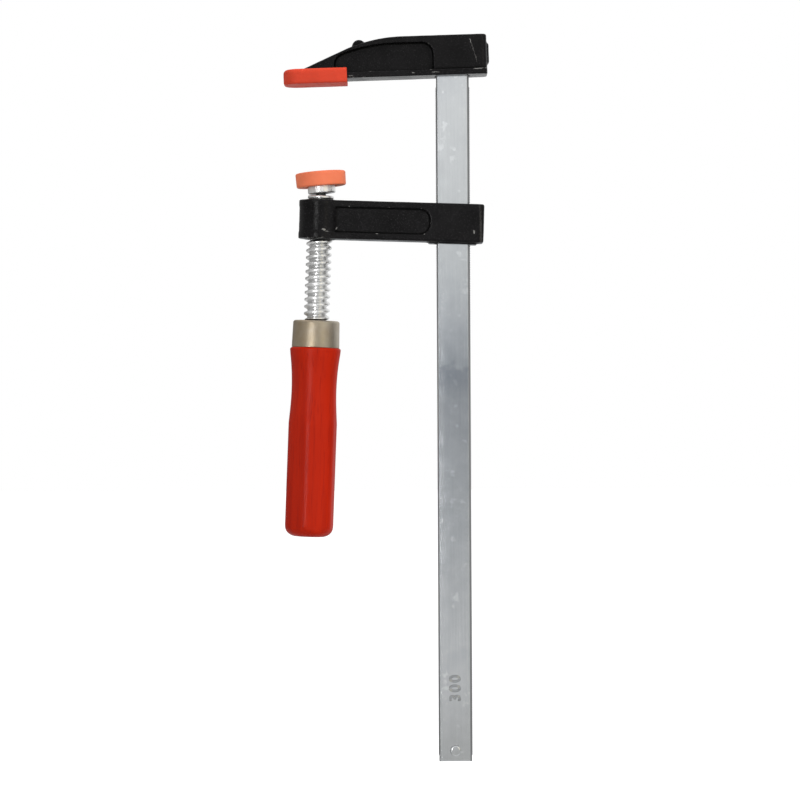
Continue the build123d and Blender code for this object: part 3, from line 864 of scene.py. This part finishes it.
def bright_zinc(screw):
    """Bright zinc plate on the rolled screw, the washer and the cup, with painted shade on the neck between washer
    and cup, and darker in the thread's roots.
    """
    material, shader, place = placed_material("bright_zinc_finish", metallic=1.0)
    cloud = mottle(place, scale=420.0, detail=4.0)
    stain = mottle(place, scale=110.0, detail=3.0, low=-0.3, high=0.6)
    # Near-black zinc for the painted shade on the neck and for the darker thread roots.
    dark_zinc = shade_of(screw.zinc, 0.06)
    to_screw = screw_frame.inverted()
    x, y, level = parts_of(field(place.tree, "ShaderNodeMapping", {
        "Vector": place, "Location": to_screw.translation, "Rotation": to_screw.to_euler(),
    }))
    from_axis = vector("LENGTH", point(x, y))
    # Painted shade: the neck, the ball and the inner parts of washer and cup, between washer and cup, are darkened
    # almost to black.
    neck_painted_shade = (from_axis < screw.washer - 1.2 * MM) * (level > washer_bottom)
    # Darker in the thread's roots.
    in_root = ramp(from_axis, screw.root + 0.35 * MM, screw.root + 0.05 * MM) * (level < washer_bottom)
    plated = mixed(figure("MAXIMUM", stain, 0.0), screw.zinc, shade_of(screw.zinc, 0.7))
    darker_in_roots = mixed(in_root * 0.2, plated, dark_zinc)
    dress(shader, base_color=mixed(neck_painted_shade, darker_in_roots, dark_zinc), roughness=cloud * 0.1 + 0.29)
    bumped(shader, cloud, strength=0.06, distance=0.06 * MM)
    return material


def nickel_plate(handle):
    """Satin nickel on the drawn ferrule, with warm tarnish."""
    material, shader, place = placed_material("nickel_plate_finish", metallic=1.0)
    cloud = mottle(place, scale=260.0, detail=5.0)
    tarnish = mottle(place, scale=75.0, detail=4.0, low=-0.2, high=0.9)
    rubs = scuffs(place, scale=120.0, width=0.005, cover=0.6)
    red, green, blue = handle.nickel
    brown = (red * 0.66, green * 0.56, blue * 0.42)
    warm = mixed(figure("MAXIMUM", tarnish, 0.0), handle.nickel, brown)
    dress(
        shader, base_color=mixed(rubs * 0.6, warm, shade_of(handle.nickel, 1.3)),
        roughness=cloud * 0.12 + 0.38,
    )
    bumped(shader, cloud, strength=0.08, distance=0.05 * MM)
    return material


def red_wood(handle):
    """Red lacquer over wood, whose grain runs along the handle and shows through, with painted shade on the
    tenon's top inside the ferrule.
    """
    material, shader, place = placed_material(
        "red_wood_finish", coat_weight=0.13, coat_roughness=0.33, specular_ior_level=0.03,
    )
    to_handle = screw_frame.to_3x3().inverted().to_euler()
    lean = field(place.tree, "ShaderNodeMapping", {"Vector": place, "Rotation": to_handle})
    pores = streaks(lean, across=1700.0, along=75.0, detail=3.0)
    grain = streaks(lean, across=330.0, along=13.0, detail=4.0)
    patchy = mottle(lean, scale=45.0, detail=3.0)
    darker = ramp(grain, 0.35, 0.95) * 0.34 + ramp(pores, 0.62, 0.95) * 0.4
    share = figure("MINIMUM", patchy * 0.16 + darker, 1.0)
    lacquered = mixed(share, handle.lacquer, handle.pores)
    # Painted shade: the tenon's top inside the ferrule is near black, where the gap round the thread lies in
    # shade.
    up = screw_frame.col[2].to_3d()
    top = ferrule_bottom + screw_frame.translation.dot(up)
    tenon = ramp(vector("DOT_PRODUCT", place, up), top + 0.2 * MM, top + 0.6 * MM)
    painted_gap_shade = (0.012, 0.008, 0.006)
    dress(shader, base_color=mixed(tenon, lacquered, painted_gap_shade), roughness=pores * 0.12 + 0.36)
    bumped(shader, grain * -0.6 - pores, strength=0.2, distance=0.09 * MM)
    return material


def moulded_plastic(name, base, lift):
    """Matt moulded plastic: cloudy flow, pale scuffs and a fine texture."""
    material, shader, place = placed_material(
        name, specular_ior_level=0.05, subsurface_weight=0.06, subsurface_scale=0.002,
    )
    flow = mottle(place, scale=130.0, detail=4.0)
    fine = mottle(place, scale=2200.0, detail=2.0)
    rubs = scuffs(place, scale=90.0, width=0.006, cover=0.6)
    pale = tuple(min(1.0, part * (1.0 + lift) + 0.03) for part in base)
    tone = mixed(flow, shade_of(base, 0.84), base)
    dress(shader, base_color=mixed(rubs * 0.6, tone, pale), roughness=flow * 0.14 + 0.40)
    bumped(shader, fine, strength=0.1, distance=0.06 * MM)
    return material


# Pieces

class CLAMP_OT_bar(bpy.types.Operator):
    """Make the toothed bar with its stamp, and the stop pin at its lower end"""
    bl_idname = "clamp.bar"
    bl_label = "Bar and stop pin"

    def execute(self, context):
        bar = context.scene.clamp_bar
        zinc = zinc_plate(bar)
        piece = new_piece("toothed_bar", bpy.data.meshes.new("toothed_bar"))
        top_middle = bar_high.z - (bar.width / 2 + bar.flare) * jaw_slope
        run_tree(
            piece, toothed_bar_tree(), zinc, width=bar.width, thickness=bar_high.y - bar_low.y,
            length=top_middle - bar_low.z, edge=bar.edge, pitch=bar.tooth_pitch, depth=bar.tooth_depth,
            margin=bar.tooth_margin, toothed_length=-bar_low.z - bar.tooth_margin, flare=bar.flare,
            slope=jaw_slope, stamp=bar.stamp, stamp_height=bar.stamp_height, stamp_depth=bar.stamp_depth,
            stamp_level=bar.stamp_level,
        )
        bar_place = Matrix.Translation((bar_middle, 0, bar_low.z))
        finish_piece(piece, zinc, "bar", ["bar"], sharp=30.0, place=bar_place)
        half = pin_high.y
        rounding = 0.7 * MM
        outline = rounded_outline([
            (0, -half, 0), (pin_radius, -half, rounding), (pin_radius, half, rounding), (0, half, 0),
        ])
        pin = turned_piece("stop_pin", outline, segments=48)
        pin_place = Matrix.Translation(pin_middle) @ z_to_front
        finish_piece(pin, zinc, "bar", ["bar_stop_pin"], place=pin_place)
        return {"FINISHED"}


class CLAMP_OT_castings(bpy.types.Operator):
    """Make the fixed jaw and the sliding arm as softened, painted castings"""
    bl_idname = "clamp.castings"
    bl_label = "Painted castings"

    def execute(self, context):
        castings = context.scene.clamp_castings
        paint = black_paint(castings)
        for name, node, body in (
            ("jaw_casting", "fixed_jaw", "bar"), ("arm_casting", "sliding_arm", "sliding_arm"),
        ):
            piece = solid_copy(name, node)
            soften(piece, castings.grain, castings.softening, castings.ripple, ripple_size=4.0 * MM)
            mark_edges(piece.data)
            finish_piece(piece, paint, body, [node], no_sharp_edges)
        return {"FINISHED"}


class CLAMP_OT_shoe(bpy.types.Operator):
    """Make the plastic shoe on the fixed jaw's nose"""
    bl_idname = "clamp.shoe"
    bl_label = "Jaw shoe"

    def execute(self, context):
        pads = context.scene.clamp_pads
        piece = solid_copy("jaw_shoe", "fixed_jaw_pad")
        soften(piece, grain=0.2 * MM, rounds=3, ripple=0.05 * MM, ripple_size=7.0 * MM)
        plastic = moulded_plastic("red_plastic_finish", pads.shoe, lift=0.5)
        finish_piece(piece, plastic, "bar", ["fixed_jaw_pad"], no_sharp_edges)
        return {"FINISHED"}


class CLAMP_OT_screw(bpy.types.Operator):
    """Make the threaded spindle and its thrust washer"""
    bl_idname = "clamp.screw"
    bl_label = "Screw and washer"

    def execute(self, context):
        screw = context.scene.clamp_screw
        zinc = bright_zinc(screw)
        shoulder = washer_bottom - 0.1 * MM
        ball_level = spindle_top - screw.ball
        neck_top = ball_level - sqrt(screw.ball ** 2 - screw.neck ** 2)
        foot = Vector((screw.root, spindle_bottom))
        core = spaced([foot, Vector((screw.root, shoulder))], gap=0.125 * MM)
        neck = [Vector((screw.neck, shoulder)), Vector((screw.neck, neck_top))]
        ball = arc_through(neck[1], Vector((screw.ball, ball_level)), Vector((0, spindle_top)), steps=14)
        outline = [Vector((0, spindle_bottom)), *core, *neck, *ball]
        spindle = turned_piece("screw_spindle", outline, segments=72)
        run_tree(
            spindle, thread_tree(), zinc, pitch=screw.pitch, depth=screw.crest - screw.root,
            low=ferrule_top - 0.5 * MM, high=shoulder - 0.6 * MM,
        )
        finish_piece(spindle, zinc, "spindle", ["spindle"], place=screw_frame)
        bore = screw.neck + 0.35 * MM
        rounding = 0.4 * MM
        ring = rounded_outline([
            (bore, washer_bottom, 0), (screw.washer, washer_bottom, rounding),
            (screw.washer, washer_top, rounding), (bore, washer_top, 0), (bore, washer_bottom, 0),
        ])
        washer = turned_piece("thrust_ring", ring, segments=72)
        finish_piece(washer, zinc, "thrust_washer", ["thrust_washer"], place=screw_frame)
        return {"FINISHED"}


class CLAMP_OT_foot(bpy.types.Operator):
    """Make the crimped cup of the swivel foot and its plastic cap"""
    bl_idname = "clamp.foot"
    bl_label = "Swivel foot"

    def execute(self, context):
        screw = context.scene.clamp_screw
        pads = context.scene.clamp_pads
        zinc = bpy.data.materials["bright_zinc_finish"]
        socket = screw.ball + 0.2 * MM
        mouth = screw.neck + 0.75 * MM
        mouth_level = -sqrt(socket ** 2 - mouth ** 2)
        wall = cap_bottom + 1.0 * MM
        plate = 8.95 * MM
        outside = rounded_outline([
            (mouth, mouth_level, 0), (mouth, cup_bottom, 0), (screw.cup, cup_bottom, 0.8 * MM),
            (screw.cup, wall, 0), (plate, wall, 0), (plate, plate_top, 0.3 * MM), (0, plate_top, 0),
        ])
        dome = Vector((0, socket))
        inside = arc_through(dome, Vector((socket, 0)), Vector((mouth, mouth_level)), steps=16)
        outline = [dome, *inside, *spaced(outside[1:], gap=0.25 * MM)]
        cup = turned_piece("crimped_cup", outline, segments=144)
        apothem = screw.cup * cos(pi / screw.crimps)
        run_tree(
            cup, flats_tree(), zinc, flats=screw.crimps, apothem=apothem, below=wall - 0.05 * MM,
            softness=0.08 * MM,
        )
        finish_piece(cup, zinc, "swivel_foot", ["swivel_foot"], sharp=25.0, place=foot_frame)
        top = pads.cap_radius
        bottom = top - (cap_top - cap_bottom) * tan(pads.cap_draft)
        lip = 7.0 * MM
        clearance = 0.1 * MM
        bed = plate + clearance
        roof = plate_top + clearance
        rounding = 0.7 * MM
        shell = rounded_outline([
            (0, roof, 0), (bed, roof, 0), (bed, wall, 0), (lip, wall, 0), (lip, cap_bottom, 0.3 * MM),
            (bottom, cap_bottom, rounding), (top, cap_top, rounding), (0, cap_top, 0),
        ])
        cap = turned_piece("swivel_cap", spaced(shell, gap=0.5 * MM), segments=128)
        plastic = moulded_plastic("orange_plastic_finish", pads.cap, lift=0.25)
        finish_piece(cap, plastic, "swivel_foot", ["swivel_pad_cap"], place=foot_frame)
        return {"FINISHED"}


class CLAMP_OT_handle(bpy.types.Operator):
    """Make the drawn ferrule and the turned, planed and lacquered handle"""
    bl_idname = "clamp.handle"
    bl_label = "Ferrule and handle"

    def execute(self, context):
        handle = context.scene.clamp_handle
        screw = context.scene.clamp_screw
        wood = red_wood(handle)
        top = ferrule_bottom
        tenon = handle.ferrule_top - 1.0 * MM
        tenon_top = ferrule_top - 1.1 * MM
        bore = screw.root + 0.02 * MM
        tang_end = spindle_bottom - 0.1 * MM
        rim = rounded_outline([
            (tenon, top, 0), (handle.rim, top, 0.9 * MM), (handle.rim - 0.3 * MM, top - 3.0 * MM, 0),
        ])
        waist = Vector((handle.waist, top - handle.waist_drop))
        body = Vector((handle.body, top - handle.body_drop))
        cove = arc_through(rim[-1], waist, body, steps=40)
        lower = rounded_outline([
            (body.x, body.y, 0), (body.x, handle_bottom, handle.end_rounding), (0, handle_bottom, 0),
        ], steps=10)
        inside = [Vector((0, tang_end)), Vector((bore, tang_end)), Vector((bore, tenon_top)),
                  Vector((tenon, tenon_top))]
        outline = inside + rim + cove + lower[1:]
        piece = turned_piece("wooden_handle", spaced(outline, gap=0.8 * MM), segments=192)
        run_tree(
            piece, flats_tree(), wood, flats=handle.flats, apothem=handle.across_flats / 2,
            turn=handle.flats_turn, below=waist.y, softness=0.9 * MM,
        )
        finish_piece(piece, wood, "spindle", ["handle"], place=screw_frame)
        roof = ferrule_top - 0.9 * MM
        hole = screw.crest + 0.15 * MM
        bed = tenon + 0.05 * MM
        shell = rounded_outline([
            (hole, roof, 0), (hole, ferrule_top, 0.3 * MM), (handle.ferrule_top, ferrule_top, 1.1 * MM),
            (handle.ferrule_foot, ferrule_bottom, 0.35 * MM), (bed, ferrule_bottom, 0), (bed, roof, 0),
            (hole, roof, 0),
        ])
        cup = turned_piece("drawn_ferrule", shell, segments=128)
        nickel = nickel_plate(handle)
        finish_piece(cup, nickel, "spindle", ["ferrule"], place=screw_frame)
        return {"FINISHED"}


# Stage

def four_cornered(name, corners, material):
    """A flat piece of the stage with four corners."""
    mesh = bpy.data.meshes.new(name)
    mesh.from_pydata(corners, [], [(0, 1, 2, 3)])
    mesh.materials.append(material)
    return new_piece(name, mesh)


def cleared_tree(owner):
    """The emptied node tree of a new material or world."""
    owner.use_nodes = True
    owner.node_tree.nodes.clear()
    return owner.node_tree


def studio_card(name, corners, shades, strength=1.0):
    """A card that only reflections see, shaded by (share of its height, colour) stops."""
    material = bpy.data.materials.new(name)
    tree = cleared_tree(material)
    _, _, level = parts_of(field(tree, "ShaderNodeTexCoord", output="Object"))
    share = ramp(level, corners[0][2], corners[2][2], "LINEAR")
    shaded = add_node(tree, "ShaderNodeValToRGB", {0: share})
    stops = shaded.color_ramp.elements
    while len(stops) < len(shades):
        stops.new(1.0)
    for stop, (height, shade) in zip(stops, shades):
        stop.position = height
        stop.color = (*shade, 1.0)
    glow = field(tree, "ShaderNodeEmission", {"Color": Field(shaded.outputs[0]), "Strength": strength})
    add_node(tree, "ShaderNodeOutputMaterial", {"Surface": glow})
    card = four_cornered(name, corners, material)
    card.visible_camera = False
    card.visible_diffuse = False
    card.visible_shadow = False
    card.visible_transmission = False


def upright_card(x_left, x_right, depth, low, high):
    """Corners of an upright card that faces along Y."""
    return [(x_left, depth, low), (x_right, depth, low), (x_right, depth, high), (x_left, depth, high)]


def side_card(side, near, far, low, high):
    """Corners of an upright card that faces along X."""
    return [(side, near, low), (side, far, low), (side, far, high), (side, near, high)]


def soft_light(name, place, target, power, size, reflected=True):
    """A square area light aimed at a point, which reflections see or don't."""
    lamp = bpy.data.lights.new(name, "AREA")
    lamp.shape = "SQUARE"
    lamp.size = size
    lamp.energy = power
    light = bpy.data.objects.new(name, lamp)
    light.visible_glossy = reflected
    light.location = place
    light.rotation_euler = (Vector(target) - Vector(place)).to_track_quat("-Z", "Y").to_euler()
    bpy.context.scene.collection.objects.link(light)


def ray_kinds(tree):
    """One for rays from the camera, and one for reflected and transmitted rays."""
    rays = add_node(tree, "ShaderNodeLightPath").outputs
    bounced = figure("MAXIMUM", Field(rays["Is Glossy Ray"]), Field(rays["Is Transmission Ray"]))
    return Field(rays["Is Camera Ray"]), bounced


def white_world(ambient):
    """An even grey light, white where the camera or a reflection sees it."""
    world = bpy.data.worlds.new("studio")
    tree = cleared_tree(world)
    white = (1.0, 1.0, 1.0, 1.0)
    light = field(tree, "ShaderNodeBackground", {"Color": white, "Strength": ambient})
    backdrop = field(tree, "ShaderNodeBackground", {"Color": white, "Strength": 1.0})
    seen = figure("MAXIMUM", *ray_kinds(tree))
    either = field(tree, "ShaderNodeMixShader", {0: seen, 1: light, 2: backdrop})
    add_node(tree, "ShaderNodeOutputWorld", {"Surface": either})
    bpy.context.scene.world = world


def white_floor():
    """A pale floor that looks white where it is seen and still takes the clamp's shadow."""
    material, shader = principled(
        "pale_floor", roughness=0.9, specular_ior_level=0.0, base_color=(0.5, 0.5, 0.5, 1.0),
        emission_color=(1.0, 1.0, 1.0, 1.0),
    )
    camera, bounced = ray_kinds(material.node_tree)
    dress(shader, emission_strength=camera * 0.8 + bounced * 0.4)
    return material


def photo_camera(stage):
    """The camera that sees the clamp as the photograph does."""
    camera_data = bpy.data.cameras.new("photo_camera")
    camera_data.lens = stage.lens
    camera_data.sensor_width = 36.0
    camera = bpy.data.objects.new("photo_camera", camera_data)
    roll = Matrix.Rotation(stage.camera_roll, 4, "Z")
    camera.matrix_world = Matrix.Translation(stage.camera_place) @ z_to_front @ roll
    bpy.context.scene.collection.objects.link(camera)
    return camera


class CLAMP_OT_stage(bpy.types.Operator):
    """Set the floor, the studio light and the photograph's camera"""
    bl_idname = "clamp.stage"
    bl_label = "Studio stage"

    def execute(self, context):
        stage = context.scene.clamp_stage
        context.scene.view_settings.view_transform = "Standard"
        context.scene.camera = photo_camera(stage)
        bar_foot = cad_box[0][2]
        slide_down = joint_named("arm_slide")["range_m"][0]
        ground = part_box("handle")[0].z + slide_down - 4.0 * MM
        reach = 8.0
        corners = [(-reach, -reach, ground), (reach, -reach, ground), (reach, reach, ground),
                   (-reach, reach, ground)]
        floor = four_cornered("floor", corners, white_floor())
        aim = (0.03, 0.0, -0.12)
        soft_light("key_light", (1.0, -1.3, 0.5), aim, stage.key_power, size=0.9, reflected=False)
        soft_light("fill_light", (-0.47, -1.24, 0.0), aim, stage.fill_power, size=0.22)
        soft_light("top_light", (0.1, 0.2, 1.2), aim, stage.top_power, size=1.1, reflected=False)
        bar_shades = (
            (0.00, (0.54, 0.54, 0.53)), (0.20, (0.666, 0.666, 0.666)), (0.42, (0.453, 0.469, 0.485)),
            (0.53, (0.348, 0.364, 0.388)), (0.565, (0.30, 0.325, 0.355)), (0.595, (0.52, 0.54, 0.565)),
            (0.72, (0.79, 0.80, 0.80)), (1.00, (1.0, 1.0, 1.0)),
        )
        studio_card("camera_side_card", upright_card(0.0, 0.13, -0.25, -0.36, 0.06), bar_shades)
        studio_card("back_side_card", upright_card(-0.03, 0.13, 0.25, -0.36, 0.06), bar_shades)
        near_edge = bar_foot + 0.3 * MM
        far_edge = bar_foot + 3.0 * MM
        foot_corners = [(0.0, -0.004, near_edge), (0.13, -0.004, near_edge), (0.13, -0.25, far_edge),
                        (0.0, -0.25, far_edge)]
        studio_card("bar_foot_card", foot_corners, ((0.0, (0.51, 0.51, 0.50)), (1.0, (0.60, 0.60, 0.60))))
        white = (1.0, 1.0, 1.0)
        flag = (0.30, 0.297, 0.295)
        tall = (-0.75, 0.45)
        for name, corners, shade, strength in (
            ("left_card", side_card(-0.8, -0.5, 0.6, -0.7, 0.5), (0.46, 0.455, 0.45), 1.0),
            ("right_card", side_card(0.9, -0.5, 0.6, -0.7, -0.03), (0.40, 0.40, 0.395), 1.0),
            ("front_left_flag", upright_card(-0.25, -0.01, -0.9, *tall), flag, 1.0),
            ("far_left_flag", upright_card(-1.2, -0.46, -0.9, *tall), flag, 1.0),
            ("front_right_flag", upright_card(0.14, 0.36, -0.9, *tall), flag, 1.0),
            ("far_right_flag", upright_card(0.80, 0.95, -0.9, *tall), flag, 1.0),
            ("back_left_flag", upright_card(-0.9, -0.15, 0.6, *tall), flag, 1.0),
            ("handle_strip", upright_card(-0.43, -0.25, -0.89, bar_foot, -0.125), white, 16.0),
            ("warm_card", upright_card(0.37, 0.79, -0.9, *tall), (1.0, 0.92, 0.72), 1.6),
            ("right_strip", side_card(0.88, -0.25, 0.05, -0.7, 0.3), (0.10, 0.08, 0.06), 1.0),
        ):
            studio_card(name, corners, ((0.0, shade), (1.0, shade)), strength)
        white_world(stage.ambient)
        return {"FINISHED"}


class CLAMP_PT_panel(bpy.types.Panel):
    """Lists the clamp's pieces and their sizes"""
    bl_idname = "CLAMP_PT_panel"
    bl_label = "Screw Bar Clamp"
    bl_space_type = "VIEW_3D"
    bl_region_type = "UI"
    bl_category = "Clamp"

    def draw(self, context):
        for operator in operators:
            self.layout.operator(operator.bl_idname)
        for name in groups:
            box = self.layout.box()
            values = getattr(context.scene, name)
            for key in values.__annotations__:
                box.prop(values, key)


groups = {
    "clamp_bar": ClampBar,
    "clamp_castings": ClampCastings,
    "clamp_screw": ClampScrew,
    "clamp_pads": ClampPads,
    "clamp_handle": ClampHandle,
    "clamp_stage": ClampStage,
}
operators = (CLAMP_OT_stage, CLAMP_OT_bar, CLAMP_OT_castings, CLAMP_OT_shoe, CLAMP_OT_screw, CLAMP_OT_foot,
             CLAMP_OT_handle)


def register():
    for name, group in groups.items():
        bpy.utils.register_class(group)
        setattr(bpy.types.Scene, name, PointerProperty(type=group))
    for operator in operators:
        bpy.utils.register_class(operator)
    bpy.utils.register_class(CLAMP_PT_panel)


def unregister():
    bpy.utils.unregister_class(CLAMP_PT_panel)
    for operator in reversed(operators):
        bpy.utils.unregister_class(operator)
    for name, group in groups.items():
        delattr(bpy.types.Scene, name)
        bpy.utils.unregister_class(group)


def main():
    register()
    bpy.ops.clamp.stage()
    bpy.ops.clamp.bar()
    bpy.ops.clamp.castings()
    bpy.ops.clamp.shoe()
    bpy.ops.clamp.screw()
    bpy.ops.clamp.foot()
    bpy.ops.clamp.handle()


if __name__ == "__main__":
    main()
